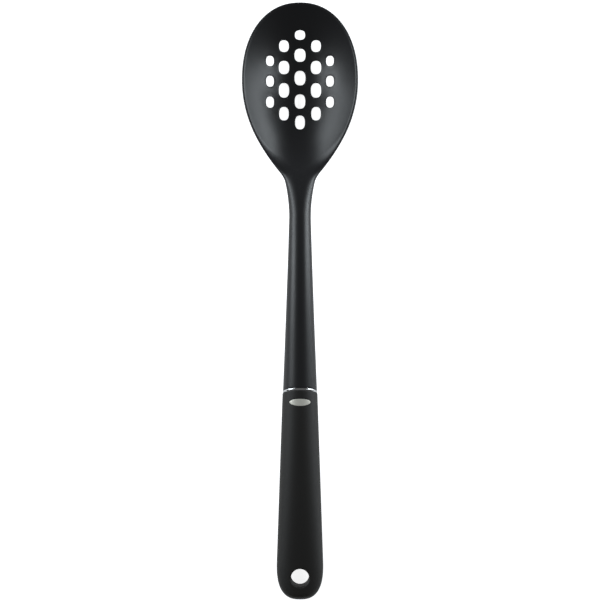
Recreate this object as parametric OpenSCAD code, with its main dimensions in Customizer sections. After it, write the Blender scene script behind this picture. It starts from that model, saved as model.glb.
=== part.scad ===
// Slotted serving spoon: a moulded nylon head with a tang, a steel band, a hard handle core,
// a soft grip moulded over the core, and a bare oval badge let into the grip.
// The spoon lies on its back. Y runs along it with the bowl at +Y, Z is up, and the origin is
// under the middle of its box. Every place along it is a distance from the tip of the bowl.

/* [Bowl] */
// Width across the bowl
bowl_w = 64.2; // [58:0.1:72]
// Length from the tip to the widest place
bowl_front_l = 43; // [38:1:46]
// Length from the widest place to where the curve of the bowl would close
bowl_back_l = 63; // [58:1:70]
// Depth of the hollow under the rim
bowl_depth = 17; // [12:0.5:20]
// Drop of the rim at the tip
tip_drop = 1; // [0:0.25:2]
// Wall at the floor of the bowl
floor_wall = 2.4; // [2:0.1:3]
// Wall at the rim
rim_wall = 1.5; // [1.2:0.1:1.8]

/* [Drain slots] */
// Width of the widest slot
slot_w = 6.1; // [5:0.1:6.6]
// Length of the longest slot
slot_l = 8.2; // [7.5:0.1:9]
// Distance from the middle column to the next
slot_column = 8.9; // [8.5:0.1:10]
// Distance between the slots of the middle column
slot_row = 12.6; // [12:0.1:13.5]

/* [Shaft] */
// Length of the flare between bowl and neck
flare_l = 13.5; // [11:0.5:18]
// Widening of the flare on each side where the curve of the bowl would close
flare_rise = 1; // [0.6:0.1:1.6]
// Length from the neck to the joint with the handle
shaft_l = 96.3; // [80:0.1:120]
// Width of the neck
neck_w = 12; // [11:0.5:14]
// Thickness of the neck
neck_t = 9.8; // [7.5:0.1:11]
// Width of the shaft at the joint
joint_w = 18.9; // [18:0.1:20]
// Thickness of the shaft at the joint
joint_t = 15.6; // [13.2:0.1:17]

/* [Side profile] */
// Height of the middle of the neck
neck_h = 23.6; // [20:0.1:27]
// Height of the middle of the joint
joint_h = 19.2; // [16:0.1:22]

/* [Joint] */
// Slant of the joint in degrees, the front leaning towards the bowl
joint_slant = 18; // [0:1:20]
// Width of the steel band
band_w = 1.2; // [0.8:0.1:2]
// How far the band stands proud of the shaft
band_proud = 0.1; // [0:0.05:0.3]
// Gap on each side of the band
band_gap = 0.1; // [0.05:0.05:0.3]

/* [Tang] */
// Length of the tang inside the handle
tang_l = 45; // [30:1:60]
// Width of the tang
tang_w = 11.4; // [9:0.1:12]
// Thickness of the tang
tang_t = 6.8; // [5:0.1:7.2]
// Gap around the tang
tang_fit = 0.15; // [0.1:0.05:0.25]

/* [Handle] */
// Length of the handle behind the joint
grip_l = 114.2; // [100:0.1:135]
// Width of the handle near its end
grip_w = 25.6; // [24:0.1:30]
// Thickness of the handle at its end
grip_end_t = 12; // [11:0.1:14]
// Extra thickness in the middle of the handle
grip_belly = 3.2; // [0:0.1:5]
// How far the handle stands out past the shaft at the joint
grip_step = 0.2; // [0:0.05:0.5]
// Length of the round end, seen from the front
end_round_l = 22; // [14:0.1:24]
// Length of the round end, seen from the side
end_edge_l = 4; // [3.6:0.1:6]
// Thickness of the soft skin over the core
skin_t = 2.6; // [2:0.1:3]
// Gap between the skin and the core
skin_gap = 0.1; // [0.05:0.05:0.2]

/* [Hanging hole] */
// Diameter of the hole
hole_d = 10; // [8:0.1:11]
// Distance from the end of the handle to the middle of the hole
hole_from_end = 12.6; // [12:0.1:16]
// Tilt of the hole in degrees, square to the end of the handle
hole_tilt = 7; // [4:0.5:10]
// Radius of the rounded rim of the hole
hole_rim = 1; // [0.5:0.1:1.5]
// Thickness of the soft skin that lines the hole
liner_t = 1.5; // [1:0.1:2]

/* [Badge] */
// Length of the badge across the handle
badge_l = 11.6; // [9:0.1:13]
// Width of the badge along the handle
badge_w = 3.9; // [3:0.1:5]
// Thickness of the badge
badge_t = 0.9; // [0.6:0.1:1.2]
// Distance from the joint to the middle of the badge
badge_from_joint = 6.8; // [6:0.1:10]
// How far the badge stands proud of the grip
badge_proud = 0.1; // [0:0.05:0.3]
// Gap around the badge
badge_fit = 0.1; // [0.05:0.05:0.2]

/* [Hidden] */

// Powers of the curves: 2 is round, and more is squarer
tip_power = 2.17;
taper_power = 2.05;
keel_power = 2.2;
cross_power = 2.2;
depth_power = 1.2;
edge_power = 2.05;
shaft_power = 1.12;
end_power = 2.65;
grip_power = 2.05;
grip_end_power = 2.5;

// Where the wall starts to thicken towards the neck, and where the flare may start
thicken_share = 0.45;
flare_from_share = 0.6;
// Rise or fall of the side profile for each length: at the neck, the joint and the end
neck_rise_share = 0.055;
joint_fall_share = 0.1;
end_fall_share = 0.125;

// Width over which the curve of the bowl blends into the flare
corner_blend = 2;
// Length over which the slant of the joint fades out on each side
slant_fade = 22;
// Length by which every cut runs past what it cuts
overrun = 1;
// Step at which slopes are measured
probe = 0.02;
probe_share = 0.001;

// How far the round rim stands out past the middle of its sloping wall
rim_roll_share = 0.115;
rim_roll = rim_wall * rim_roll_share;
bowl_half = bowl_w / 2 - rim_roll;

// Distances from the tip
s_tip = rim_roll;
s_wide = bowl_front_l;
s_thicken = s_wide + bowl_back_l * thicken_share;
s_flare = s_wide + bowl_back_l * flare_from_share;
s_neck = s_wide + bowl_back_l + flare_l;
s_joint = s_neck + shaft_l;
s_end = s_joint + grip_l;
s_shoulder = s_joint - band_w / 2 - band_gap;
s_grip = s_joint + band_w / 2 + band_gap;
s_tang_end = s_shoulder + tang_l;
s_hole = s_end - hole_from_end;
s_badge = s_joint + badge_from_joint;

// Heights that bring the lowest points of the bowl and the handle down to the table. The
// middle slot takes away the floor's lowest point, and the rounded edge the handle's.
floor_lost = 0.055;
end_lost = 0.308;
rim_h = bowl_depth + floor_wall / 2 - floor_lost;
end_h = grip_end_t / 2 - end_lost;

// Sides of a section and counts of stations
head_sides = 44;
handle_sides = 32;
front_steps = 16;
taper_steps = 20;
shaft_steps = 8;
slant_steps = 4;
tang_steps = 5;
grip_steps = 9;
cap_steps = 7;
badge_steps = 4;
badge_sides = 40;
round_fn = 64;
slot_fn = 20;

// Each column of slots: its place as a share of slot_column, the widths of its slots as shares
// of slot_w, their places as shares of slot_row from the widest place, and their lengths as
// shares of slot_l
slot_columns_share = [
    [0, [0.96, 1, 0.99, 0.95, 0.88], [-2.04, -1.17, -0.17, 0.87, 1.81], [0.71, 0.88, 0.99, 0.99, 0.96]],
    [1, [0.88, 0.95, 0.93, 0.86], [-1.56, -0.63, 0.38, 1.42], [0.78, 0.9, 1, 0.93]],
    [1.87, [0.8, 0.78, 0.77], [-0.9, -0.01, 0.92], [0.78, 0.79, 0.81]]
];

function clip(t) = min(1, max(0, t));
function ease(t) = pow(clip(t), 2) * (3 - 2 * clip(t));
function mix(a, b, t) = a + (b - a) * t;
function unit(v) = v / norm(v);
// The quarter of a superellipse: 1 at t = 0, falling to 0 at t = 1
function bulge(t, power) = pow(1 - pow(clip(t), power), 1 / power);
// The larger of two values, with a rounded corner where they cross
function soft_max(a, b, blend) = max(a, b) + blend / 4 * pow(max(0, 1 - abs(a - b) / blend), 2);
// A cubic from value a to value b over length l, with a slope at each end
function cubic(t, l, a, a_slope, b, b_slope) =
    a * (1 - 3 * pow(t, 2) + 2 * pow(t, 3)) + b * (3 * pow(t, 2) - 2 * pow(t, 3))
    + l * (a_slope * (t - 2 * pow(t, 2) + pow(t, 3)) + b_slope * (pow(t, 3) - pow(t, 2)));

function y_of(s) = s_end / 2 - s;
// Place in front of the widest part of the bowl: 0 there and 1 at the tip
function ahead(s) = (s_wide - s) / (s_wide - s_tip);

// Height of the middle line, seen from the side
function line_h(s) =
    s < s_wide ? rim_h - tip_drop * pow(ahead(s), 2)
    : s < s_neck ? cubic((s - s_wide) / (s_neck - s_wide), s_neck - s_wide,
                         rim_h, 0, neck_h, neck_rise_share)
    : s < s_joint ? cubic((s - s_neck) / shaft_l, shaft_l,
                          neck_h, neck_rise_share, joint_h, -joint_fall_share)
    : cubic((s - s_joint) / grip_l, grip_l, joint_h, -joint_fall_share, end_h, -end_fall_share);
function line_slope(s) = (line_h(s + probe) - line_h(s - probe)) / (2 * probe);
// A point at distance s from the tip, x across and z square to the middle line
function place(s, x, z) = [x, y_of(s), line_h(s)] + z * unit([0, line_slope(s), 1]);
// How far a section leans with the joint, for each height above the middle line
function lean(s) = tan(joint_slant) * ease(1 - abs(s - s_joint) / slant_fade);
// An oval section, or one that leans with the joint
function oval(s, half_w, half_t, power, sides) = [
    for (i = [0:sides - 1])
        let (a = 360 * i / sides,
             z = half_t * sign(sin(a)) * bulge(abs(cos(a)), power))
        place(s - lean(s) * z, half_w * cos(a), z)
];

// Half the width of the shaft, of the bowl behind its widest place and of the whole head
function shaft_half(s) =
    neck_w / 2 + (joint_w - neck_w) / 2 * pow(max(0, s - s_neck) / shaft_l, shaft_power);
function taper_half(s) = bowl_half * (1 - pow((s - s_wide) / bowl_back_l, taper_power));
function flare_half(s) = shaft_half(s) + flare_rise * pow(max(0, s_neck - s) / flare_l, 2);
function head_half(s) =
    s < s_wide ? bowl_half * bulge(ahead(s), tip_power)
    : s < s_flare ? taper_half(s)
    : soft_max(taper_half(s), flare_half(s), corner_blend);

// Depth of the hollow at each station
function hollow(s) =
    s < s_wide ? bowl_depth * (1 - pow(ahead(s), keel_power))
    : s < s_neck ? bowl_depth * pow(max(0, head_half(s) - neck_w / 2) / (bowl_half - neck_w / 2),
                                    depth_power)
    : 0;
// How much a section is shaft rather than bowl
function shaftness(s) = ease((s - s_thicken) / (s_neck - s_thicken));

// The middle surface of the head, where u runs from -1 to 1 across it
function middle(s, u) =
    [head_half(s) * u, y_of(s), line_h(s) - hollow(s) * (1 - pow(abs(u), cross_power))];
function middle_normal(s, u) = unit(cross(
    middle(s + probe, u) - middle(s - probe, u),
    middle(s, u + probe_share) - middle(s, u - probe_share)));

// How far out a point lies, from 0 in the middle of the bowl to 1 on its outline
function outness(s, u) =
    s < s_wide
    ? pow(pow(abs(u) * head_half(s) / bowl_half, tip_power) + pow(ahead(s), tip_power), 1 / tip_power)
    : abs(u);
// Distance in plan from the outline of the head
function rim_distance(s, u) =
    s < s_wide
    ? let (r = outness(s, u),
           x_pull = pow(abs(u) * head_half(s) / bowl_half, tip_power - 1) / bowl_half,
           y_pull = pow(ahead(s), tip_power - 1) / (s_wide - s_tip))
      (1 - r) * pow(r, tip_power - 1) / norm([x_pull, y_pull])
    : let (slope = (head_half(s + probe) - head_half(s - probe)) / (2 * probe))
      head_half(s) * (1 - abs(u)) / norm([1, slope]);

// Half the thickness of the head: thinner towards the rim, and rounded at its edge
function head_half_t(s, u) =
    let (k = shaftness(s),
         centre = mix(floor_wall, neck_t, k) + (joint_t - neck_t) * max(0, s - s_neck) / shaft_l,
         thinned = centre * (1 - mix(1 - rim_wall / floor_wall, 0, k) * pow(outness(s, u), 2)),
         edge = mix(rim_wall / 2, head_half(s), k))
    thinned / 2 * bulge(1 - rim_distance(s, u) / edge, edge_power);

function head_ring(s) = [
    for (i = [0:head_sides - 1])
        let (a = 360 * i / head_sides,
             u = cos(a),
             z = sign(sin(a)) * head_half_t(s, u),
             s2 = s - lean(s) * z)
        middle(s2, u) + z * middle_normal(s2, u)
];

// Half the width and thickness of the handle, taken in by an inset
function grip_half_w(s, inset) =
    (mix(joint_w / 2 + grip_step, grip_w / 2, (s - s_joint) / (grip_l - end_round_l)) - inset)
    * bulge((s - s_end + end_round_l) / (end_round_l - inset), end_power);
function grip_half_t(s, inset) =
    let (t = (s - s_joint) / grip_l)
    (mix(joint_t / 2 + grip_step, grip_end_t / 2, t) + grip_belly * 2 * t * (1 - t) - inset)
    * bulge((s - s_end + end_edge_l) / (end_edge_l - inset), end_power);
function grip_ring(s, inset) =
    oval(s, grip_half_w(s, inset), grip_half_t(s, inset),
         mix(grip_power, grip_end_power, clip((s - s_joint) / grip_l)), handle_sides);
// Stations along the handle, closer together at its round end
function grip_stations(inset) = concat(
    [for (i = [0:slant_steps - 1]) s_grip + slant_fade * i / slant_steps],
    [for (i = [0:grip_steps - 1])
        mix(s_grip + slant_fade, s_end - end_round_l, i / grip_steps)],
    [for (i = [0:cap_steps - 1])
        mix(s_end - end_round_l, s_end - inset, sin(90 * i / cap_steps))]
);
function tang_ring(s, fit, sides) = oval(s, tang_w / 2 + fit, tang_t / 2 + fit, grip_power, sides);
function tang_stations(from, to) = [for (i = [0:tang_steps]) mix(from, to, i / tang_steps)];
function reversed(rows) = [for (i = [len(rows) - 1:-1:0]) rows[i]];

// A closed skin over rings of points, with a point that closes each end
module skin(rings, first, last) {
    n = len(rings[0]);
    m = len(rings);
    polyhedron(
        points = concat([for (ring = rings) each ring], [first, last]),
        faces = concat(
            [for (j = [0:n - 1]) [m * n, j, (j + 1) % n]],
            [for (i = [0:m - 2], j = [0:n - 1], half = [0, 1])
                let (a = i * n + j, b = i * n + (j + 1) % n)
                half == 0 ? [a, a + n, b] : [b, a + n, b + n]],
            [for (j = [0:n - 1]) [m * n + 1, (m - 1) * n + (j + 1) % n, (m - 1) * n + j]]
        ),
        convexity = 6
    );
}

// A closed skin over rings that return to the first one
module hoop_skin(rings) {
    n = len(rings[0]);
    m = len(rings);
    polyhedron(
        points = [for (ring = rings) each ring],
        faces = [
            for (i = [0:m - 1], j = [0:n - 1], half = [0, 1])
                let (a = i * n + j, b = i * n + (j + 1) % n,
                     c = (i + 1) % m * n + j, d = (i + 1) % m * n + (j + 1) % n)
                half == 0 ? [a, b, c] : [b, d, c]
        ],
        convexity = 6
    );
}

// One drain slot: a short round-ended cut straight down, as the mould leaves it
module slot_cut(x, s, w, l) {
    straight = max(0, l - w) / 2;
    hull()
        for (end = [-1, 1])
            translate([x, y_of(s) + end * straight, -overrun])
                cylinder(d = w, h = rim_h + floor_wall + 2 * overrun, $fn = slot_fn);
}

module drain_slots() {
    for (column = slot_columns_share)
        for (row = [0:len(column[2]) - 1])
            for (side = column[0] == 0 ? [1] : [-1, 1])
                slot_cut(side * column[0] * slot_column, s_wide + column[2][row] * slot_row,
                         column[1][row] * slot_w, column[3][row] * slot_l);
}

// The nylon moulding: bowl, neck and shaft, and the tang that is pressed into the handle
module spoon_head() {
    stations = concat(
        [for (i = [1:front_steps]) mix(s_wide, s_tip, cos(90 * i / front_steps))],
        [for (i = [1:taper_steps]) mix(s_wide, s_neck, i / taper_steps)],
        [for (i = [1:shaft_steps]) mix(s_neck, s_joint - slant_fade, i / shaft_steps)],
        [for (i = [1:slant_steps]) mix(s_joint - slant_fade, s_shoulder, i / slant_steps)]
    );
    color("#1d1d1f")
        difference() {
            skin(concat(
                     [for (s = stations) head_ring(s)],
                     [for (s = tang_stations(s_shoulder, s_tang_end)) tang_ring(s, 0, head_sides)]),
                 middle(s_tip, 0), place(s_tang_end, 0, 0));
            drain_slots();
        }
}

// The steel band: a thin oval hoop around the tang, between shaft and grip
module accent_ring() {
    half_w = joint_w / 2 + band_proud;
    half_t = joint_t / 2 + band_proud;
    front = s_joint - band_w / 2;
    back = s_joint + band_w / 2;
    color("#c9cbcc")
        hoop_skin([
            tang_ring(front, tang_fit, head_sides),
            tang_ring(back, tang_fit, head_sides),
            oval(back, half_w, half_t, edge_power, head_sides),
            oval(front, half_w, half_t, edge_power, head_sides)
        ]);
}

// The axis of the hanging hole, square to the end of the handle
module on_hole_axis() {
    translate(place(s_hole, 0, 0))
        rotate([hole_tilt, 0, 0])
            children();
}

// The hard core of the handle, with the socket for the tang and an eye for the hanging hole
module handle_core() {
    inset = skin_t + skin_gap;
    color("#3a3b3d")
        difference() {
            skin(concat(
                     [for (s = reversed(tang_stations(s_grip, s_tang_end + tang_fit)))
                         tang_ring(s, tang_fit, handle_sides)],
                     [for (s = grip_stations(inset)) grip_ring(s, inset)]),
                 place(s_tang_end + tang_fit, 0, 0), place(s_end - inset, 0, 0));
            on_hole_axis()
                cylinder(r = hole_d / 2 + liner_t + skin_gap, h = 2 * grip_end_t, center = true,
                         $fn = round_fn);
        }
}

// The front of the handle around the badge, at an inset from its surface
module badge_layer(inset) {
    s_last = s_badge + badge_w;
    skin([for (i = [0:badge_steps]) grip_ring(mix(s_grip, s_last, i / badge_steps), inset)],
         place(s_grip, 0, 0), place(s_last, 0, 0));
}

// The seat of the badge, or the badge itself: an oval block square to the front of the handle,
// whose back follows the curve of the handle at the depth of the badge
module badge_block(fit) {
    half_l = badge_l / 2 + fit;
    half_w = badge_w / 2 + fit;
    front = grip_half_t(s_badge, 0);
    difference() {
        translate(place(s_badge - lean(s_badge) * front, 0, front - skin_t))
            rotate([atan(-line_slope(s_badge)), 0, 0])
                linear_extrude(skin_t + overrun)
                    polygon([for (i = [0:badge_sides - 1])
                        let (a = 360 * i / badge_sides) [half_l * cos(a), half_w * sin(a)]]);
        badge_layer(badge_t);
    }
}

// Half of the cut that rounds the rim of the hole
module hole_rim_cut() {
    rotate_extrude($fn = round_fn)
        difference() {
            square([hole_d / 2 + hole_rim, hole_rim + overrun]);
            translate([hole_d / 2 + hole_rim, 0])
                circle(r = hole_rim, $fn = round_fn);
        }
}

// The soft grip: a skin over the core, which also lines the hanging hole
module soft_grip() {
    hole_half = grip_half_t(s_hole, 0);
    color("#232325")
        difference() {
            skin([for (s = grip_stations(0)) grip_ring(s, 0)],
                 place(s_grip, 0, 0), place(s_end, 0, 0));
            difference() {
                skin(concat(
                         [grip_ring(s_grip - overrun, skin_t)],
                         [for (s = grip_stations(skin_t)) grip_ring(s, skin_t)]),
                     place(s_grip - overrun, 0, 0), place(s_end - skin_t, 0, 0));
                on_hole_axis()
                    cylinder(r = hole_d / 2 + liner_t, h = 2 * grip_end_t, center = true,
                             $fn = round_fn);
            }
            on_hole_axis() {
                cylinder(d = hole_d, h = 2 * grip_end_t, center = true, $fn = round_fn);
                for (side = [0, 1])
                    mirror([0, 0, side])
                        translate([0, 0, hole_half - hole_rim])
                            hole_rim_cut();
            }
            badge_block(badge_fit);
        }
}

// The badge: a bare oval plate, curved like the front of the grip
module badge() {
    color("#a9a89f")
        intersection() {
            badge_block(0);
            badge_layer(-badge_proud);
        }
}

spoon_head();
accent_ring();
handle_core();
soft_grip();
badge();
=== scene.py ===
# %% [markdown]
# # A slotted serving spoon
# This lesson dresses a nylon serving spoon that was built as a CAD model. The CAD model is
# loaded first and stays where it is. Then each piece that shows is made again as a fine
# surface with soft edges, given the finish of the real material, and lit for a picture from
# straight above. The spoon lies on its back along Y, with the bowl at +Y.

# %% Load the CAD model
import math

import bmesh
import bpy
import numpy as np
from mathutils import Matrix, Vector
from mathutils.geometry import delaunay_2d_cdt


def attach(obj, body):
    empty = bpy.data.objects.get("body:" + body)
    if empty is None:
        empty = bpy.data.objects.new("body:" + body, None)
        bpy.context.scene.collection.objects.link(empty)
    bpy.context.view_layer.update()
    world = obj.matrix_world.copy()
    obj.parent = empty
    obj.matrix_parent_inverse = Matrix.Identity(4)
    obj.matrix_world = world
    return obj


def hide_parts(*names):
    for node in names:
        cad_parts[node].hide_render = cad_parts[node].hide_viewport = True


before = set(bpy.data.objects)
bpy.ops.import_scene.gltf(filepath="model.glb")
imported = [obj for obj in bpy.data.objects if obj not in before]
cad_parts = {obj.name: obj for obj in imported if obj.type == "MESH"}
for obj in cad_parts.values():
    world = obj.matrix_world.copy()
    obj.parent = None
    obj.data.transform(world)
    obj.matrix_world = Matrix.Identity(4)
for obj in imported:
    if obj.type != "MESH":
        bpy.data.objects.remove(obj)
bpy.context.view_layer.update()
mm = 0.001

# %% [markdown]
# ## The sizes
# The surfaces below follow the same drawing as the CAD model, so its sizes come first, in
# millimetres. Every place along the spoon is `s`, the distance from the tip of the bowl.

# %% Sizes of the bowl, the shaft and the handle
# The bowl, its wall, and its drain slots with the steps between columns and rows
bowl_w, bowl_front_l, bowl_back_l, bowl_depth = 64.2, 43, 63, 17
tip_drop, floor_wall, rim_wall = 1, 2.4, 1.5
slot_w, slot_l, slot_column, slot_row = 6.1, 8.2, 8.9, 12.6
# The neck, the shaft and the slanted joint: widths, thicknesses and middle heights
flare_l, flare_rise, shaft_l = 13.5, 1, 96.3
neck_w, neck_t, joint_w, joint_t = 12, 9.8, 18.9, 15.6
neck_h, joint_h = 23.6, 19.2
joint_slant, band_w, band_proud, band_gap = 18, 1.2, 0.1, 0.1
tang_l, tang_w, tang_t, tang_fit = 45, 11.4, 6.8, 0.15
# The grip, its hanging hole and its badge
grip_l, grip_w, grip_end_t, grip_belly, grip_step = 114.2, 25.6, 12, 3.2, 0.2
end_round_l, end_edge_l, skin_t = 22, 4, 2.6
hole_d, hole_from_end, hole_tilt, hole_rim, liner_t = 10, 12.6, 7, 1, 1.5
badge_l, badge_w, badge_t, badge_from_joint = 11.6, 3.9, 0.9, 6.8
badge_proud, badge_fit = 0.1, 0.1
# Powers and shares that set how full each curve is, and slopes of the middle line
tip_power, taper_power, keel_power, cross_power, depth_power = 2.17, 2.05, 2.2, 2.2, 1.2
edge_power, shaft_power, end_power, grip_power, grip_end_power = 2.05, 1.12, 2.65, 2.05, 2.5
thicken_share, flare_from_share = 0.45, 0.6
neck_rise, joint_fall, end_fall = 0.055, -0.1, -0.125
corner_blend, slant_fade, floor_lost, end_lost = 2, 22, 0.055, 0.308
rim_roll_share, edge_r = 0.115, 0.25

# Places along the spoon that follow from the sizes
rim_roll = rim_wall * rim_roll_share
bowl_half = bowl_w / 2 - rim_roll
s_tip, s_wide = rim_roll, bowl_front_l
s_thicken = s_wide + bowl_back_l * thicken_share
s_flare = s_wide + bowl_back_l * flare_from_share
s_neck = s_wide + bowl_back_l + flare_l
s_joint = s_neck + shaft_l
s_end = s_joint + grip_l
s_shoulder = s_joint - band_w / 2 - band_gap
s_grip = s_joint + band_w / 2 + band_gap
s_tang_end = s_shoulder + tang_l
s_hole = s_end - hole_from_end
s_badge = s_joint + badge_from_joint
rim_h = bowl_depth + floor_wall / 2 - floor_lost
end_h = grip_end_t / 2 - end_lost
print("Joint at", s_joint, "mm and end at", s_end, "mm from the tip")

# %% [markdown]
# ## The curves
# A spoon has no straight lines. Seen from the front, from the side and in section, it
# follows a few curves: the quarter of a superellipse, which is a circle made squarer or
# slimmer by its power, and a cubic that leaves and arrives at a given slope. They work on
# whole arrays at once, which is why numpy is used and not a loop.

# %% Curves that the whole spoon is made from
# Steps for measuring a slope, in mm and as a share of the width, and the smallest divisor.
probe, probe_share, tiny = 0.02, 0.001, 1e-12


def ease(t):
    """Goes from 0 to 1 with a slow start and end: t squared times (3 - 2 t)."""
    t = np.clip(t, 0, 1)
    return t * t * (3 - 2 * t)


def mix(a, b, t):
    """The value that lies the share t of the way from a to b."""
    return a + (b - a) * t


def bulge(t, power):
    """A quarter superellipse: the root of (1 - t to the power), 1 at t = 0 and 0 at t = 1."""
    return (1 - np.clip(t, 0, 1) ** power) ** (1 / power)


def cubic(t, length, a, a_slope, b, b_slope):
    """The cubic over t from 0 to 1 that goes from a to b and has a given slope at each end."""
    return (a * (1 - 3 * t**2 + 2 * t**3) + b * (3 * t**2 - 2 * t**3)
            + length * (a_slope * (t - 2 * t**2 + t**3) + b_slope * (t**3 - t**2)))


def unit(v):
    """Vectors divided by their lengths; a vector of no length stays as it is."""
    return v / np.maximum(np.linalg.norm(v, axis=-1, keepdims=True), tiny)


print("A quarter of the way along, a slow start has come to", float(ease(0.25)))

# %% [markdown]
# ### The middle line
# Every section of the spoon stands square to one line that runs from tip to end and rises
# and falls with the handle. A Bezier curve could be that line, but a formula gives its
# height at any place at once, and its slope as well.

# %% The middle line and the sections on it


def line_h(s):
    """Height of the middle line: level to the widest place, then cubics over neck and joint."""
    s = np.asarray(s, float)
    ahead = np.maximum(0, (s_wide - s) / (s_wide - s_tip))
    bowl = cubic((s - s_wide) / (s_neck - s_wide), s_neck - s_wide, rim_h, 0, neck_h, neck_rise)
    shaft = cubic((s - s_neck) / shaft_l, shaft_l, neck_h, neck_rise, joint_h, joint_fall)
    grip = cubic((s - s_joint) / grip_l, grip_l, joint_h, joint_fall, end_h, end_fall)
    return np.select([s < s_wide, s < s_neck, s < s_joint],
                     [rim_h - tip_drop * ahead**2, bowl, shaft], grip)


def place(s, x, z):
    """The point at s, x across, and z square to the middle line."""
    slope = (line_h(s + probe) - line_h(s - probe)) / (2 * probe)
    s, x, z, slope = np.broadcast_arrays(s, x, z, slope)
    length = np.sqrt(1 + slope**2)
    return np.stack([x, s_end / 2 - s + z * slope / length, line_h(s) + z / length], axis=-1)


def lean(s):
    """How far a section leans with the slanted joint for each millimetre of height."""
    return math.tan(math.radians(joint_slant)) * ease(1 - np.abs(s - s_joint) / slant_fade)


def oval(s, half_w, half_t, power, a):
    """A superellipse section at s: x is half_w times cos a, z half_t times the bulge of it."""
    z = half_t * np.sign(np.sin(a)) * bulge(np.abs(np.cos(a)), power)
    return place(s - lean(s) * z, half_w * np.cos(a), z)


highest = float(line_h(np.arange(0, s_end)).max())
print("Highest point of the middle line:", round(highest, 2), "mm")

# %% [markdown]
# ## The shape of the head
# The bowl is worked out as a thin sheet. A middle surface has the outline and the hollow,
# and half the wall is added on each side of it, square to it. Towards the neck the wall
# swells until it has become the solid shaft, so bowl and shaft are one flowing surface.

# %% Outline of the head


def shaft_half(s):
    """Half the width of the shaft: it grows from neck to joint by a power of the way."""
    share = np.maximum(0, s - s_neck) / shaft_l
    return neck_w / 2 + (joint_w - neck_w) / 2 * share**shaft_power


def head_half(s):
    """Half the width: superellipse, then a power taper, met by the flare with a soft corner."""
    s = np.asarray(s, float)
    front = bowl_half * bulge((s_wide - s) / (s_wide - s_tip), tip_power)
    taper = bowl_half * (1 - (np.maximum(0, s - s_wide) / bowl_back_l) ** taper_power)
    flare = shaft_half(s) + flare_rise * (np.maximum(0, s_neck - s) / flare_l) ** 2
    corner = corner_blend / 4 * np.maximum(0, 1 - np.abs(taper - flare) / corner_blend) ** 2
    return np.select([s < s_wide, s < s_flare], [front, taper], np.maximum(taper, flare) + corner)


print("Outline in mm at the widest place, the neck and the joint:",
      np.round(2 * head_half(np.array([s_wide, s_neck, s_joint])), 2).tolist())

# %% [markdown]
# ### The hollow and the wall
# The bowl is deepest over its widest place and runs out into the neck. Its wall is thinner
# at the rim, so that it slips under food, and its edge is round, as the mould leaves it.

# %% Hollow and wall of the head


def hollow(s):
    """Depth of the hollow: a power curve from the tip, then a power of the width left."""
    ahead = np.maximum(0, (s_wide - s) / (s_wide - s_tip))
    left = np.maximum(0, head_half(s) - neck_w / 2) / (bowl_half - neck_w / 2)
    return np.select([s < s_wide, s < s_neck],
                     [bowl_depth * (1 - np.minimum(1, ahead) ** keel_power),
                      bowl_depth * left**depth_power], 0.0)


def middle(s, u):
    """Middle surface: u from -1 to 1 goes across, and the hollow fades by a power of u."""
    z = line_h(s) - hollow(s) * (1 - np.abs(u) ** cross_power)
    x, y, z = np.broadcast_arrays(head_half(s) * u, s_end / 2 - s, z)
    return np.stack([x, y, z], axis=-1)


def rim_distance(s, u):
    """Distance in plan from the outline: by the superellipse in front, square to it behind."""
    half = head_half(s)
    ahead = np.maximum(0, (s_wide - s) / (s_wide - s_tip))
    out = np.where(s < s_wide, ((np.abs(u) * half / bowl_half) ** tip_power
                                + ahead**tip_power) ** (1 / tip_power), np.abs(u))
    pull = np.hypot((np.abs(u) * half / bowl_half) ** (tip_power - 1) / bowl_half,
                    ahead ** (tip_power - 1) / (s_wide - s_tip))
    slope = (head_half(s + probe) - head_half(s - probe)) / (2 * probe)
    front = (1 - out) * out ** (tip_power - 1) / np.maximum(pull, tiny)
    return np.where(s < s_wide, front, half * (1 - np.abs(u)) / np.hypot(1, slope)), out


def head_half_t(s, u):
    """Half the wall: thinner towards the rim, swelling into the shaft, round at its edge."""
    k = ease((s - s_thicken) / (s_neck - s_thicken))
    centre = mix(floor_wall, neck_t, k) + (joint_t - neck_t) * np.maximum(0, s - s_neck) / shaft_l
    distance, out = rim_distance(s, u)
    thinned = centre * (1 - mix(1 - rim_wall / floor_wall, 0, k) * out**2)
    edge = mix(rim_wall / 2, head_half(s), k)
    return thinned / 2 * bulge(1 - distance / edge, edge_power)


print("Hollow:", round(float(hollow(s_wide)), 2), "mm deep, over a wall",
      round(2 * float(head_half_t(s_wide - probe, 0.0)), 2), "mm thick")

# %% [markdown]
# ### Soft edges at the joint
# No moulded edge is sharp. Where the shaft ends at the band its edge is rounded, and the
# grip's edge as well, because that rounding is what draws the fine dark line in a picture.

# %% Surface of the head
sine_digits = 12


def head_surface(s, a):
    """Head at s and angle a: the middle surface plus or minus half the wall, square to it.
    The sine is rounded, so that it is exactly 0 on the rim. Next to the shoulder a quarter
    circle draws the section in."""
    s, a = np.broadcast_arrays(np.asarray(s, float), a)
    u = np.cos(a)
    z = np.sign(np.round(np.sin(a), sine_digits)) * head_half_t(s, u)
    near = np.clip((s - s_shoulder + edge_r) / edge_r, 0, 1)
    inset = edge_r * (1 - np.sqrt(1 - near**2))
    z = z * (1 - inset / (joint_t / 2))
    s2 = s - lean(s) * z
    along = middle(s2 + probe, u) - middle(s2 - probe, u)
    across = middle(s2, u + probe_share) - middle(s2, u - probe_share)
    p = middle(s2, u) + z[..., None] * unit(np.cross(along, across))
    p[..., 0] *= 1 - inset / (joint_w / 2)
    return p


widest = 2 * head_surface(s_wide, np.linspace(-0.5, 0.5, 101))[:, 0].max()
print("Bowl is", round(float(widest), 2), "mm wide at its widest")

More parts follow.
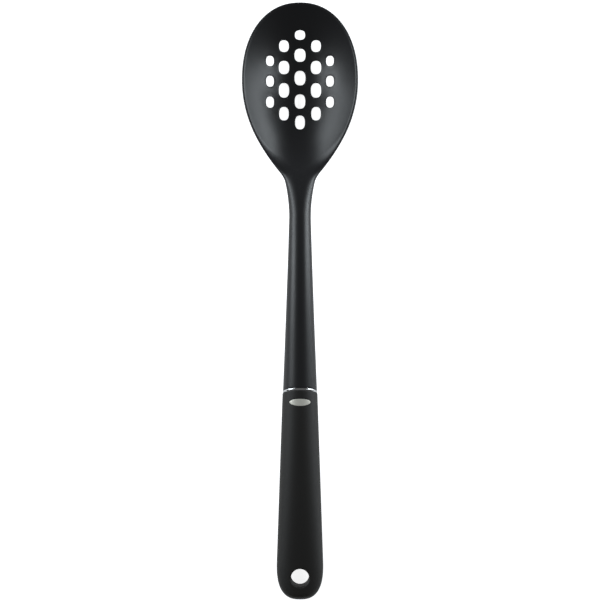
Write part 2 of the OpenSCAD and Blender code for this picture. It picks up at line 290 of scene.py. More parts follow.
# %% [markdown]
# ## Meshes from grids
# Every piece is gathered from grids of points. Two grids that share an edge share its
# points, so merging points that coincide sews the piece shut. A last step turns all faces
# outwards, and only edges sharper than the limit, in degrees, stay sharp.

# %% Grids and pieces
merge_reach, sliver_reach = 0.002 * mm, 0.0001 * mm


def grid(points, wrap=False):
    """Points in rows and columns, and the four-sided faces between them. With wrap, the
    last column is joined to the first."""
    rows, columns = points.shape[:2]
    index = np.arange(rows * columns).reshape(rows, columns)
    right = np.roll(index, -1, axis=1)
    a, b, c, d = index[:-1], right[:-1], right[1:], index[1:]
    faces = np.stack([a, b, c, d], axis=-1)
    return points.reshape(-1, 3), (faces if wrap else faces[:, :-1]).reshape(-1, 4)


def build(name, parts, node, sharp=35):
    """Joins parts, each a pair of points and faces, into one closed mesh that replaces a CAD node:
    the node is hidden, and the mesh is parented to the root body."""
    counts = np.cumsum([0] + [len(points) for points, _ in parts])
    faces = [face for (_, part), start in zip(parts, counts) for face in (part + start).tolist()]
    mesh = bpy.data.meshes.new(name)
    mesh.from_pydata((np.concatenate([p for p, _ in parts]) * mm).tolist(), [], faces)
    work = bmesh.new()
    work.from_mesh(mesh)
    bmesh.ops.remove_doubles(work, verts=work.verts, dist=merge_reach)
    bmesh.ops.dissolve_degenerate(work, edges=work.edges, dist=sliver_reach)
    bmesh.ops.recalc_face_normals(work, faces=work.faces)
    loose = sum(not edge.is_manifold for edge in work.edges)
    volume = work.calc_volume(signed=True) / mm**3
    work.to_mesh(mesh)
    work.free()
    mesh.shade_smooth()
    mesh.set_sharp_from_angle(angle=math.radians(sharp))
    piece = bpy.data.objects.new(name, mesh)
    bpy.context.scene.collection.objects.link(piece)
    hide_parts(node)
    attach(piece, "root")
    triangles = sum(len(p.vertices) - 2 for p in mesh.polygons)
    print(f"{name}: {triangles} triangles, {volume:.0f} mm3, {loose} open edges")
    return piece


print("A grid of 3 by 4 points has", len(grid(np.zeros((3, 4, 3)))[1]), "faces")

# %% [markdown]
# ## Openings in a curved sheet
# The drain slots, the hanging hole and the seat of the badge are openings in a curved
# surface. Each is an outline drawn in a flat plane, a tilt about X and an origin, and
# pressed straight through.

# %% Planes to draw outlines in
level = (0, np.zeros(3))


def from_plane(x, y, z, plane):
    """Points of a plane, at height z over it, in the spoon's frame."""
    tilt, origin = plane
    turn = math.radians(tilt)
    x, y, z = np.broadcast_arrays(x, y, z)
    return np.stack([x, y * math.cos(turn) - z * math.sin(turn),
                     y * math.sin(turn) + z * math.cos(turn)], axis=-1) + origin


def height_over(p, plane):
    """Height of points over a plane."""
    tilt, origin = plane
    turn = math.radians(tilt)
    return (p[..., 2] - origin[2]) * math.cos(turn) - (p[..., 1] - origin[1]) * math.sin(turn)


print("1 mm over a plane tilted by 30 degrees:",
      np.round(from_plane(0.0, 0.0, 1.0, (30, np.zeros(3))), 3).tolist())

# %% [markdown]
# ### Finding the surface
# To find where a point of the plane meets the surface, a guess is moved by its own error
# until it lands, for a whole outline at once. Casting rays at a mesh would only find its
# flat faces, and this finds the exact surface.

# %% Find places on a surface
find_rounds = 60


def find(surface, x, y, plane, half, side):
    """Place (s, a) of the points above or below (x, y) of a plane: the guess moves along by
    its error in y, and across by its error in x over half the width."""
    tilt, origin = plane
    turn = math.radians(tilt)
    s = s_end / 2 - (origin[1] + y)
    u = x / half(s)
    for _ in range(find_rounds):
        p = surface(s, side * np.arccos(np.clip(u, -1, 1))) - origin
        s = s + (p[..., 1] * math.cos(turn) + p[..., 2] * math.sin(turn) - y)
        u = u + (x - p[..., 0]) / half(s)
    return s, side * np.arccos(u)


def pressed(surface, x, y, plane, half, side=1, lift=0.0):
    """Points (x, y) of a plane moved square to it onto a surface, lifted by lift from there,
    and their place (s, a) on the surface."""
    s, a = find(surface, x, y, plane, half, side)
    p = surface(s, a)
    if lift:
        p = from_plane(x, y, height_over(p, plane) + lift, plane)
    return p, (s, a)


under_bowl, _ = pressed(head_surface, 0.0, s_end / 2 - s_wide, level, head_half, -1)
print("Under its widest place the bowl is", round(float(under_bowl[2]), 3), "mm over the table")

# %% [markdown]
# ### Filling the sheet
# Around the outlines the sheet is filled with well-shaped triangles (a Delaunay net), whose
# corners all lie on the exact surface. A Boolean cut would be quicker to write, but leaves
# slivers that spoil a satin highlight.

# %% Fill a sheet around openings
clear_share, net_limit = 0.7, 1e-7


def inside(points, outline):
    """Whether points lie in a closed outline: a ray from them crosses it an odd number of
    times."""
    a, b = outline, np.roll(outline, -1, axis=0)
    x, y = points[..., 0, None], points[..., 1, None]
    spans = (a[:, 1] > y) != (b[:, 1] > y)
    rise = np.where(b[:, 1] == a[:, 1], 1, b[:, 1] - a[:, 1])
    meets = a[:, 0] + (y - a[:, 1]) * (b[:, 0] - a[:, 0]) / rise
    return (spans & (x < meets)).sum(-1) % 2 == 1


def sheet(surface, stations, angles, openings):
    """The surface on a grid of stations and angles, less each opening, an outline (s, a).
    The net is made in a plane where each side of the grid's cells is about its real one.
    Grid points nearer to an outline than a share of the gap between its points are left out."""
    step_s = np.median(np.diff(stations))
    middle_s = stations[len(stations) // 2]
    step_a = np.linalg.norm(np.diff(surface(middle_s, angles[len(angles) // 2:][:2]), axis=0))
    flat_s = np.arange(len(stations)) * step_s
    flat_a = np.arange(len(angles)) * step_a
    flat = np.stack(np.meshgrid(flat_s, flat_a, indexing="ij"), axis=-1)
    edge = np.ones(flat.shape[:2], bool)
    edge[1:-1, 1:-1] = False
    keep = np.ones(flat.shape[:2], bool)
    outlines = [np.stack([np.interp(s, stations, flat_s), np.interp(a, angles, flat_a)], axis=-1)
                for s, a in openings]
    for outline in outlines:
        gap = np.linalg.norm(outline - np.roll(outline, 1, axis=0), axis=-1).mean()
        near = np.linalg.norm(flat[:, :, None] - outline, axis=-1).min(axis=-1)
        keep &= (near > clear_share * gap) & ~inside(flat, outline)
    net = [flat[edge | keep]] + outlines
    starts = np.cumsum([0] + [len(points) for points in net])
    edges = [pair for start, o in zip(starts[1:], outlines)
             for pair in np.stack([np.arange(len(o)), np.roll(np.arange(len(o)), -1)], -1) + start]
    points = np.concatenate(net)
    corners = list(map(Vector, points.tolist()))
    found = delaunay_2d_cdt(corners, np.array(edges).tolist(), [], 0, net_limit)
    assert len(found[0]) == len(points), "the net must keep its points"
    faces = np.array(found[2])
    centre = points[faces].mean(axis=1)
    filled = np.ones(len(faces), bool)
    for outline in outlines:
        filled &= ~inside(centre, outline)
    s = np.interp(points[:, 0], flat_s, stations)
    a = np.interp(points[:, 1], flat_a, angles)
    return surface(s, a), faces[filled]


square = np.array([[0, 0], [1, 0], [1, 1], [0, 1]])
print("Is the middle of a square inside it?", bool(inside(np.array([0.5, 0.5]), square)))

# %% [markdown]
# ### Rounded rims
# The mould leaves a small rounding on the rim of every opening, and that is what catches the
# light. A bevel could be added later, but on a curved sheet it comes out uneven. So each
# tunnel starts with a quarter circle on both faces and goes straight from one to the other.

# %% Tunnels with rounded rims


def quarter(count):
    """Angles of a quarter turn, in even steps."""
    return np.linspace(0, np.pi / 2, count)


def full_circle(count, start=0.0):
    """Angles of count even steps round a full turn, the first one start steps in."""
    return 2 * np.pi * (np.arange(count) + start) / count


def rounding(radius, count):
    """How far a rounded rim stands out and how far it drops, from face to wall: the radius
    times 1 less the sine, and times 1 less the cosine, of a quarter turn."""
    turn = quarter(count)
    return list(zip(radius * (1 - np.sin(turn)), radius * (1 - np.cos(turn))))


def tunnel(surface, outline, rim, rim_steps, plane, half):
    """Rings of a tunnel through a surface, and the place (s, a) of its outline on each side.
    The outline is a function of how far it is moved out."""
    rings, places = {1: [], -1: []}, {}
    for side in rings:
        for out, drop in rounding(rim, rim_steps):
            ring, at = pressed(surface, *outline(out), plane, half, side, -side * drop)
            if drop == 0:
                places[side] = at
            rings[side].append(ring)
    return np.stack(rings[1] + rings[-1][::-1]), places


print("A rim rounded by 1 mm:", np.round(rounding(1, 4), 2).tolist())

# %% [markdown]
# ## The drain slots
# Nineteen short rounded slots stand in five columns and get shorter towards the tip and the
# sides, as the mould's pins do. Each is a superellipse, fuller than an ellipse and softer
# than a slot with straight sides. Each pin goes straight down through the sloping wall.
# The sizes are read off the picture, so the smallest slots are a little narrower here than
# in the CAD model, where each has to let a 4 mm rod through.

# %% Outlines and walls of the drain slots
# A column's place, then the widths, places along and lengths of its slots, all as shares of
# the sizes above.
slot_columns = [
    (0, [0.93, 1, 0.99, 0.95, 0.88],
     [-2.04, -1.17, -0.17, 0.87, 1.81], [0.63, 0.88, 0.99, 0.99, 0.96]),
    (1, [0.88, 0.95, 0.93, 0.86], [-1.56, -0.63, 0.38, 1.42], [0.78, 0.9, 1, 0.93]),
    (1.87, [0.71, 0.71, 0.71], [-0.9, -0.01, 0.92], [0.69, 0.75, 0.77]),
]
slots = np.array([
    (side * column * slot_column, s_wide + row * slot_row, width * slot_w, length * slot_l)
    for column, widths, rows, lengths in slot_columns
    for width, row, length in zip(widths, rows, lengths)
    for side in ([1] if column == 0 else [-1, 1])])
slot_rim, slot_rim_steps, slot_sides, slot_power = 0.4, 6, 44, 2.5


def slot_outline(out):
    """Each slot's outline, moved out by out: a superellipse, half the width times cos and half
    the length times sin of an angle, each raised to 2 over the power."""
    turn = full_circle(slot_sides, 0.5)
    across, along = (np.sign(f) * np.abs(f) ** (2 / slot_power)
                     for f in (np.cos(turn), np.sin(turn)))
    x, s, w, l = slots.T[:, :, None]
    return x + (w / 2 + out) * across, s_end / 2 - s + (l / 2 + out) * along


slot_rings, slot_places = tunnel(head_surface, slot_outline, slot_rim, slot_rim_steps,
                                 level, head_half)
slot_walls = [grid(slot_rings[:, i], wrap=True) for i in range(len(slots))]
slot_openings = {side: list(zip(s, a)) for side, (s, a) in slot_places.items()}
print(len(slots), "drain slots, the smallest", round(slots[:, 2].min(), 2), "mm wide")

# %% [markdown]
# ## The head
# Bowl, neck, shaft and tang are one nylon moulding. It could be modelled by hand from a few
# faces under a Subdivision Surface, but then outline and reflections would only be near the
# drawing. Here a front and a back sheet make the bowl, rings make the shaft and the tang, and
# they meet in the same points. The stations are closer together where the form turns faster.

# %% The head: bowl, slots, shaft and tang
bowl_end = s_flare + 12
front_count, back_count, neck_count, shaft_count, slant_count = 58, 70, 24, 50, 16
edge_count, tang_count, half_count = 7, 6, 73

front_stations = mix(s_wide, s_tip, np.cos(quarter(front_count)))
back_stations = np.linspace(s_wide, bowl_end, back_count)[1:]
bowl_stations = np.concatenate([front_stations, back_stations])
front_angles = np.linspace(0, np.pi, half_count)
shaft_stations = np.concatenate([
    np.linspace(bowl_end, s_neck, neck_count),
    np.linspace(s_neck, s_joint - slant_fade, shaft_count)[1:],
    np.linspace(s_joint - slant_fade, s_shoulder - edge_r, slant_count)[1:],
    s_shoulder - edge_r * (1 - np.sin(quarter(edge_count)[1:])),
])
around = np.linspace(0, 2 * np.pi, 2 * half_count - 1)[:-1]
shaft = head_surface(shaft_stations[:, None], around)
tang_stations = np.linspace(s_shoulder, s_tang_end, tang_count)
tang = oval(tang_stations[:, None], tang_w / 2, tang_t / 2, grip_power, around)
tang_tip = np.repeat(place(s_tang_end, 0.0, 0.0)[None, None], len(around), axis=1)
head = build("spoon_head_visual",
             [sheet(head_surface, bowl_stations, front_angles, slot_openings[1]),
              sheet(head_surface, bowl_stations, -front_angles[::-1], slot_openings[-1]),
              grid(np.concatenate([shaft, tang, tang_tip]), wrap=True)] + slot_walls,
             "spoon_head")

# %% [markdown]
# ## The soft grip
# The grip is a skin of soft rubber moulded over a hard core. It is a superellipse section
# that grows towards the end, leans with the joint at its front, and closes in a round end.
# The skin lines the hanging hole and has a shallow oval seat for the badge. A Solidify
# modifier could give it its thickness, but not the lined hole, so its inside is worked out
# as the outside is, from smaller sizes.

# %% Surface of the grip


def grip_half_w(s, inset=0.0):
    """Half the width: a straight taper times the round end's superellipse."""
    t = (s - s_joint) / (grip_l - end_round_l)
    width = mix(joint_w / 2 + grip_step, grip_w / 2, t) - inset
    return width * bulge((s - s_end + end_round_l) / (end_round_l - inset), end_power)


def grip_half_t(s, inset=0.0):
    """Half the thickness: a straight taper plus a parabola, times the end's superellipse."""
    t = (s - s_joint) / grip_l
    thick = mix(joint_t / 2 + grip_step, grip_end_t / 2, t) + grip_belly * 2 * t * (1 - t) - inset
    return thick * bulge((s - s_end + end_edge_l) / (end_edge_l - inset), end_power)


def grip_at(s, a, inset=0.0):
    """The grip's section, whose power grows from joint to end."""
    power = mix(grip_power, grip_end_power, np.clip((s - s_joint) / grip_l, 0, 1))
    return oval(s, grip_half_w(s, inset), grip_half_t(s, inset), power, a)


def grip_surface(s, a):
    """The outside, drawn in by a quarter circle at the joint."""
    near = np.clip((s_grip + edge_r - s) / edge_r, 0, 1)
    return grip_at(s, a, edge_r * (1 - np.sqrt(1 - near**2)))


def cavity_surface(s, a):
    """The inside of the skin."""
    return grip_at(s, a, skin_t)


def under_badge(s, a):
    """The surface at the badge's depth in the grip."""
    return grip_at(s, a, badge_t)


print("Grip is", round(float(2 * grip_half_w(s_end - end_round_l)), 2), "mm wide at its end")

# %% [markdown]
# ### Hanging hole and seat
# The hanging hole is square to the sloping end of the handle, so its outline is drawn in a
# plane turned by that slope. Its rim is rounded on both faces, because fingers and hooks
# meet it. The seat's plane touches the grip under the badge, and its floor follows the
# grip's curve.

# %% Hanging hole and seat of the badge
hole_sides, hole_rim_steps = 96, 9
seat_sides, seat_rim, seat_rim_steps = 72, 0.12, 4
floor_shares = (1, 0.75, 0.5, 0.25, 0)

hole_plane = (hole_tilt, place(s_hole, 0.0, 0.0))
badge_front = float(grip_half_t(s_badge))
badge_slope = -float(line_h(s_badge + probe) - line_h(s_badge - probe)) / (2 * probe)
badge_middle = place(s_badge - float(lean(s_badge)) * badge_front, 0.0, badge_front)
badge_plane = (math.degrees(math.atan(badge_slope)), badge_middle)


def oval_outline(half_x, half_y, angles):
    """An oval as a function of how far it is moved out: the half sizes times cos and sin."""
    return lambda out: ((half_x + out) * np.cos(angles), (half_y + out) * np.sin(angles))


def hole_wall(surface, radius, rim, rim_steps):
    """The hole's tunnel through a surface, and its outline's place on both sides."""
    outline = oval_outline(radius, radius, full_circle(hole_sides, 0.5))
    rings, places = tunnel(surface, outline, rim, rim_steps, hole_plane, grip_half_w)
    return grid(rings, wrap=True), places


def badge_back(x, y):
    """Rings from an outline to its middle on the surface at the badge's depth in the grip."""
    return [pressed(under_badge, x * share, y * share, badge_plane, grip_half_w)[0]
            for share in floor_shares]


def badge_seat():
    """The seat: an oval outline with a small rounding, a wall, and a floor curved as the grip."""
    outline = oval_outline(badge_l / 2 + badge_fit, badge_w / 2 + badge_fit,
                           full_circle(seat_sides, 0.5))
    rings = [pressed(grip_surface, *outline(out), badge_plane, grip_half_w, 1, -drop)
             for out, drop in rounding(seat_rim, seat_rim_steps)]
    return grid(np.stack([p for p, _ in rings] + badge_back(*outline(0))), wrap=True), rings[0][1]


hole_wall_out, hole_out = hole_wall(grip_surface, hole_d / 2, hole_rim, hole_rim_steps)
hole_wall_in, hole_in = hole_wall(cavity_surface, hole_d / 2 + liner_t, 0, 1)
seat, seat_place = badge_seat()
print("The badge's plane tilts by", round(badge_plane[0], 2), "degrees")

# %% [markdown]
# ### The skin
# The outside and the inside are each a front and a back sheet around the hole. A ring at the
# joint joins them, and the two tunnels give the hole its lining.

# %% The grip: outside, inside, hole and seat
slant_stations, taper_stations, end_stations, edge_stations = 36, 56, 40, 7
grip_half_count = 61


def grip_stations(start, inset):
    """Stations along the handle, closer together at the joint and at the round end."""
    return np.concatenate([
        start, np.linspace(start[-1], s_grip + slant_fade, slant_stations)[1:],
        np.linspace(s_grip + slant_fade, s_end - end_round_l, taper_stations)[1:],
        mix(s_end - end_round_l, s_end - inset, np.sin(quarter(end_stations)))[1:]])


outside = grip_stations(s_grip + edge_r * (1 - np.cos(quarter(edge_stations))), 0)
within = grip_stations(np.array([s_grip]), skin_t)
half_turn = np.linspace(0, np.pi, grip_half_count)
full_turn = np.linspace(0, 2 * np.pi, 2 * grip_half_count - 1)[:-1]
front_face = np.stack([surface(np.full(1, s_grip), full_turn)
                       for surface in (grip_surface, cavity_surface)])
grip = build("soft_grip_visual",
             [sheet(grip_surface, outside, half_turn, [hole_out[1], seat_place]),
              sheet(grip_surface, outside, -half_turn[::-1], [hole_out[-1]]),
              sheet(cavity_surface, within, half_turn, [hole_in[1]]),
              sheet(cavity_surface, within, -half_turn[::-1], [hole_in[-1]]),
              hole_wall_out, hole_wall_in, seat, grid(front_face, wrap=True)],
             "soft_grip")

# %% [markdown]
# ## The steel band
# A narrow hoop of polished steel closes the joint between shaft and grip. Its outer face is
# slightly crowned and its edges are broken, so it mirrors the lamps as a fine bright line.
# A bevelled cylinder would be round and straight. A small profile carried along the joint's
# own oval leans with it and fits.

# %% The band
# Distance along the spoon from the band's middle, and how far inwards, in millimetres.
half_profile = [(band_w / 2, 0.5), (band_w / 2, 0.16), (band_w / 2 - 0.05, 0.08),
                (band_w / 2 - 0.14, 0.03), (0.25, 0.0)]
crown = (0.0, -0.02)


def band_ring(along, inset):
    """A section of the hoop: the outer oval drawn in by inset."""
    return oval(s_joint + along, joint_w / 2 + band_proud - inset,
                joint_t / 2 + band_proud - inset, edge_power, around)


profile = [(-along, inset) for along, inset in half_profile] + [crown] + half_profile[::-1]
hoop = [band_ring(along, inset) for along, inset in profile]
bore = [oval(s_joint + along, tang_w / 2 + tang_fit, tang_t / 2 + tang_fit, grip_power, around)
        for along in (band_w / 2, -band_w / 2)]
band = build("accent_ring_visual", [grid(np.stack(hoop + bore + hoop[:1]), wrap=True)],
             "accent_ring", sharp=50)

# %% [markdown]
# ## The badge
# A small oval plate of satin metal sits in the grip just behind the band. On the real spoon
# such a plate is stamped, so its face follows the curve of the grip and its edge is broken.
# Rings pressed onto the grip's own surface give both. Here it is left bare.

# %% The badge
plate_sides, plate_edge, plate_edge_steps, face_rings = 96, 0.22, 6, 8


def badge_plate():
    """Rings from the middle of the face, over a rounded edge, to the middle of the back."""
    outline = oval_outline(badge_l / 2, badge_w / 2, full_circle(plate_sides))
    face = [(share, plate_edge, 0.0) for share in np.linspace(0, 1, face_rings)[:-1]]
    edge = [(1, inset, fall) for inset, fall in rounding(plate_edge, plate_edge_steps)]
    rings = []
    for share, inset, fall in face + edge:
        x, y = outline(-inset)
        rings.append(pressed(grip_surface, x * share, y * share, badge_plane, grip_half_w,
                             1, badge_proud - fall)[0])
    return grid(np.stack(rings + badge_back(x, y)), wrap=True)


badge = build("badge_visual", [badge_plate()], "badge", sharp=50)

# %% [markdown]
# ## Colours and materials
# Colours are written as they are seen on a screen, in hex, and turned to the linear values
# that light adds up in. Each material is a small net of nodes: noise at the real size of
# the surface's texture drives its roughness and a little bump. Noise lies mostly between
# 0.3 and 0.7, so that span is what is taken to the roughness wanted.

# %% Helpers for materials
noise_span = {"From Min": 0.3, "From Max": 0.7}


def linear(code):
    """An sRGB hex colour as linear light: each part over 0.04 is ((c + 0.055) / 1.055) ^ 2.4."""
    parts = np.array([int(code[i:i + 2], 16) for i in (1, 3, 5)]) / 255
    light = np.where(parts > 0.04045, ((parts + 0.055) / 1.055) ** 2.4, parts / 12.92)
    return (*light.tolist(), 1.0)


def add(tree, kind, inputs=(), **fields):
    """Adds a node, sets its fields, and gives each input a value or a link from an output."""
    made = tree.nodes.new(kind)
    for name, value in fields.items():
        setattr(made, name, value)
    for name, value in dict(inputs).items():
        if isinstance(value, bpy.types.NodeSocket):
            tree.links.new(value, made.inputs[name])
        else:
            made.inputs[name].default_value = value
    return made


def new_material(name):
    """An empty node material, and its node tree."""
    material = bpy.data.materials.new(name)
    material.use_nodes = True
    material.node_tree.nodes.clear()
    return material, material.node_tree


def dress(piece, material, shader):
    """Makes the shader the material's surface, and gives the piece that material alone."""
    add(material.node_tree, "ShaderNodeOutputMaterial", {"Surface": shader.outputs[0]})
    piece.data.materials.clear()
    piece.data.materials.append(material)
    print(f"{piece.name}: {material.name}, {len(material.node_tree.nodes)} nodes")


print("Middle grey #808080 in linear light:", round(linear("#808080")[0], 3))

# %% [markdown]
# ### Nylon
# The head is glass-filled nylon, injection moulded in a fine-eroded steel mould. The eroded
# texture makes a near-black, even satin: the lamps show as soft wide stripes. The texture's
# real grain is about 0.05 mm, too fine to show, so it is drawn at 0.35 mm. The gloss is set
# a little under that of smooth nylon, whose IOR is 1.53, because the glass dulls the skin.

# %% Nylon of the head
nylon, tree = new_material("glass_filled_nylon_moulded_satin")
at = add(tree, "ShaderNodeTexCoord").outputs["Object"]
grain = add(tree, "ShaderNodeTexNoise",
            {"Vector": at, "Scale": 1 / (0.35 * mm), "Detail": 3}).outputs["Fac"]
flow = add(tree, "ShaderNodeTexNoise",
           {"Vector": at, "Scale": 1 / (22 * mm), "Detail": 2}).outputs["Fac"]
bump = add(tree, "ShaderNodeBump", {"Height": grain, "Strength": 0.3, "Distance": 0.02 * mm})
rough = add(tree, "ShaderNodeMapRange",
            {"Value": grain, **noise_span, "To Min": 0.33, "To Max": 0.41})
colour = add(tree, "ShaderNodeMix",
             {"Factor": flow, "A": linear("#121214"), "B": linear("#151517")}, data_type="RGBA")
shader = add(tree, "ShaderNodeBsdfPrincipled",
             {"Base Color": colour.outputs["Result"], "Roughness": rough.outputs["Result"],
              "Normal": bump.outputs["Normal"], "IOR": 1.45})
dress(head, nylon, shader)

# %% [markdown]
# ### Soft rubber
# The grip is a thermoplastic rubber, soft to the hand. It is more matt than the nylon, so
# its highlights are broad and dim. Its mould is eroded coarser, drawn here at 0.45 mm, and
# its black leans to brown, as carbon black in rubber does.

# %% Rubber of the grip
rubber, tree = new_material("thermoplastic_rubber_moulded_matt")
at = add(tree, "ShaderNodeTexCoord").outputs["Object"]
grain = add(tree, "ShaderNodeTexNoise",
            {"Vector": at, "Scale": 1 / (0.45 * mm), "Detail": 3}).outputs["Fac"]
wear = add(tree, "ShaderNodeTexNoise",
           {"Vector": at, "Scale": 1 / (16 * mm), "Detail": 3}).outputs["Fac"]
bump = add(tree, "ShaderNodeBump", {"Height": grain, "Strength": 0.4, "Distance": 0.03 * mm})
rough = add(tree, "ShaderNodeMapRange",
            {"Value": grain, **noise_span, "To Min": 0.5, "To Max": 0.6})
colour = add(tree, "ShaderNodeMix",
             {"Factor": wear, "A": linear("#0d0c0a"), "B": linear("#110f0d")}, data_type="RGBA")
shader = add(tree, "ShaderNodeBsdfPrincipled",
             {"Base Color": colour.outputs["Result"], "Roughness": rough.outputs["Result"],
              "Normal": bump.outputs["Normal"], "IOR": 1.43})
dress(grip, rubber, shader)

# %% [markdown]
# ### Polished steel
# The band is stainless steel, polished round the hoop. The fine lines of polishing run
# across the spoon, so the pattern is stretched along X.

# %% Steel of the band
steel, tree = new_material("stainless_steel_polished")
at = add(tree, "ShaderNodeTexCoord").outputs["Object"]
stretch = add(tree, "ShaderNodeMapping", {"Vector": at, "Scale": (0.04, 1, 1)})
lines = add(tree, "ShaderNodeTexNoise", {"Vector": stretch.outputs["Vector"],
                                         "Scale": 1 / (0.15 * mm), "Detail": 2}).outputs["Fac"]
bump = add(tree, "ShaderNodeBump", {"Height": lines, "Strength": 0.15, "Distance": 0.01 * mm})
rough = add(tree, "ShaderNodeMapRange",
            {"Value": lines, **noise_span, "To Min": 0.1, "To Max": 0.2})
shader = add(tree, "ShaderNodeBsdfPrincipled",
             {"Base Color": linear("#cfd0d1"), "Metallic": 1, "Roughness": rough.outputs["Result"],
              "Normal": bump.outputs["Normal"]})
dress(band, steel, shader)

# %% [markdown]
# ### Anodised aluminium
# The badge is a brushed and anodised aluminium plate in a slightly warm grey. Its brush
# lines run along it, about 0.1 mm apart. The clear oxide film over the metal scatters part
# of the light, so the plate stays pale even where it mirrors no lamp: it is less metallic.

# %% Metal of the badge
satin, tree = new_material("aluminium_brushed_anodised")
at = add(tree, "ShaderNodeTexCoord").outputs["Object"]
stretch = add(tree, "ShaderNodeMapping", {"Vector": at, "Scale": (0.05, 1, 1)})
lines = add(tree, "ShaderNodeTexNoise", {"Vector": stretch.outputs["Vector"],
                                         "Scale": 1 / (0.12 * mm), "Detail": 2}).outputs["Fac"]
bump = add(tree, "ShaderNodeBump", {"Height": lines, "Strength": 0.25, "Distance": 0.01 * mm})
rough = add(tree, "ShaderNodeMapRange",
            {"Value": lines, **noise_span, "To Min": 0.36, "To Max": 0.46})
colour = add(tree, "ShaderNodeMix",
             {"Factor": lines, "A": linear("#bdbbb1"), "B": linear("#c8c6bd")}, data_type="RGBA")
shader = add(tree, "ShaderNodeBsdfPrincipled",
             {"Base Color": colour.outputs["Result"], "Roughness": rough.outputs["Result"],
              "Normal": bump.outputs["Normal"], "Metallic": 0.4})
dress(badge, satin, shader)

# %% [markdown]
# ### The core
# The hard core inside the grip is a plain moulded plastic. It can't be seen, but it gets
# its finish all the same, for whoever takes the spoon apart.

# %% Plastic of the core
plastic, tree = new_material("polypropylene_moulded_core")
at = add(tree, "ShaderNodeTexCoord").outputs["Object"]
grain = add(tree, "ShaderNodeTexNoise",
            {"Vector": at, "Scale": 1 / (0.6 * mm), "Detail": 2}).outputs["Fac"]
bump = add(tree, "ShaderNodeBump", {"Height": grain, "Strength": 0.2, "Distance": 0.03 * mm})
rough = add(tree, "ShaderNodeMapRange",
            {"Value": grain, **noise_span, "To Min": 0.45, "To Max": 0.6})
shader = add(tree, "ShaderNodeBsdfPrincipled",
             {"Base Color": linear("#3a3b3d"), "IOR": 1.49, "Roughness": rough.outputs["Result"],
              "Normal": bump.outputs["Normal"]})
dress(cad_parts["handle_core"], plastic, shader)

# %% [markdown]
# ## The floor
# The floor is pale paper with a glow of its own that only the camera and mirrors see. The
# two add up to white, while the paper still keeps the spoon's soft shadow. A stronger lamp
# would make the paper white as well, but would wash out the black. Glossy pieces mirror
# less of the glow than the camera sees, because white all round turns the edges of black
# plastic pale.

# %% The floor
floor_half, floor_drop = 3.0, 0.0001
camera_glow, mirror_share = 0.82, 0.4

floor_mesh = bpy.data.meshes.new("floor")
floor_mesh.from_pydata([(x * floor_half, y * floor_half, -floor_drop)
                        for x, y in ((-1, -1), (1, -1), (1, 1), (-1, 1))],
                       [], [(0, 1, 2, 3)])
floor = bpy.data.objects.new("floor", floor_mesh)
bpy.context.scene.collection.objects.link(floor)
paper, tree = new_material("white_paper_floor")
seen = add(tree, "ShaderNodeLightPath").outputs
mirrored = add(tree, "ShaderNodeMath",
               {0: seen["Is Glossy Ray"], 1: seen["Is Transmission Ray"]},
               operation="ADD", use_clamp=True)
looked_at = add(tree, "ShaderNodeMath",
                {0: mirrored.outputs[0], 1: mirror_share, 2: seen["Is Camera Ray"]},
                operation="MULTIPLY_ADD", use_clamp=True)
glow = add(tree, "ShaderNodeMath", {0: looked_at.outputs[0], 1: camera_glow},
           operation="MULTIPLY")
matt = add(tree, "ShaderNodeBsdfDiffuse", {"Color": linear("#e8e8e8")})
white = add(tree, "ShaderNodeEmission", {"Color": (1, 1, 1, 1), "Strength": glow.outputs[0]})
dress(floor, paper, add(tree, "ShaderNodeAddShader", {0: matt.outputs[0], 1: white.outputs[0]}))

# %% [markdown]
# ## The lamps and the sky
# A wide low softbox on each side draws the broad soft stripes, a narrow upright one next to
# each adds the brighter line along the shaft, and a dim even sky fills the rest. Their
# places were worked out from where the highlights lie in the picture. Light from a sky
# picture would be quicker, but a lesson that stands alone reads no picture.

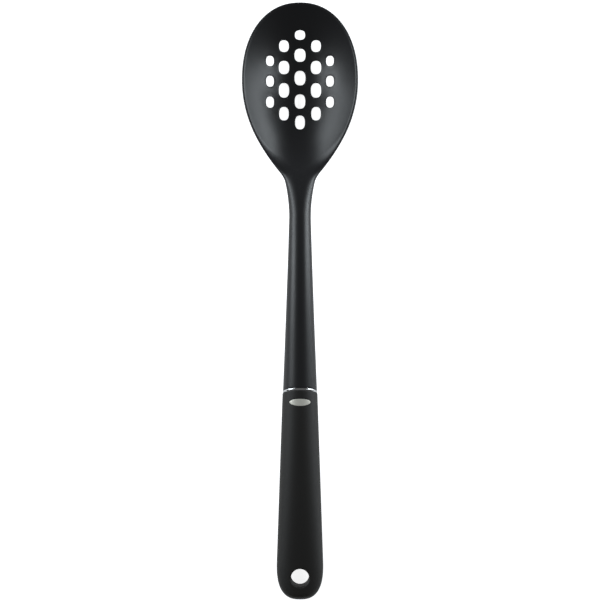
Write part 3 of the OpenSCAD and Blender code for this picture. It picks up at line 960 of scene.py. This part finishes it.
# %% The lamps and the sky
lamp_aim, cool_white, sky_strength = Vector((0, 0, 0.01)), "#f2faff", 0.146
# Name, place and size in metres, and watts.
lamps = [
    ("left_softbox", (-1.77, 1.25, 0.60), (2.0, 1.11), 37.7),
    ("left_strip_softbox", (-1.62, 0.20, 1.21), (0.27, 1.14), 15.5),
    ("right_softbox", (1.94, 1.07, 0.33), (2.15, 0.64), 41.8),
    ("right_strip_softbox", (0.72, 0.16, 0.46), (0.18, 0.42), 2.85),
]
for name, where, size, watts in lamps:
    light = bpy.data.lights.new(name, "AREA")
    light.shape = "RECTANGLE"
    light.size, light.size_y = size
    light.energy = watts
    light.color = linear(cool_white)[:3]
    holder = bpy.data.objects.new(name, light)
    holder.location = where
    holder.rotation_euler = (lamp_aim - Vector(where)).to_track_quat("-Z", "Y").to_euler()
    bpy.context.scene.collection.objects.link(holder)

sky = bpy.data.worlds.new("sky")
sky.use_nodes = True
background = sky.node_tree.nodes["Background"]
background.inputs["Color"].default_value = (1, 1, 1, 1)
background.inputs["Strength"].default_value = sky_strength
bpy.context.scene.world = sky
print(len(lamps), "softboxes of", sum(watts for *_, watts in lamps), "W together")

# %% [markdown]
# ## The camera
# The picture was taken from nearly straight above and from far away, so the camera stands
# 2.6 m off and is tipped by a degree and a half. Its lens follows from the width of the
# frame at the spoon: sensor width times distance over that width.

# %% The camera
photo_px, px_mm, sensor_mm = 600, 0.5532, 36
distance, pitch = 2.6, math.radians(1.6)
target = Vector((0, 0.0004, 0.012))

frame_w = photo_px * px_mm * mm
camera_data = bpy.data.cameras.new("camera")
camera_data.sensor_width = sensor_mm
camera_data.lens = sensor_mm * distance / frame_w
camera = bpy.data.objects.new("camera", camera_data)
camera.location = target + distance * Vector((0, -math.sin(pitch), math.cos(pitch)))
camera.rotation_euler = (pitch, 0, 0)
bpy.context.scene.collection.objects.link(camera)
bpy.context.scene.camera = camera
bpy.context.scene.view_settings.view_transform = "Standard"
print("Lens of", round(camera_data.lens, 1), "mm for a frame", round(frame_w / mm, 1), "mm wide")
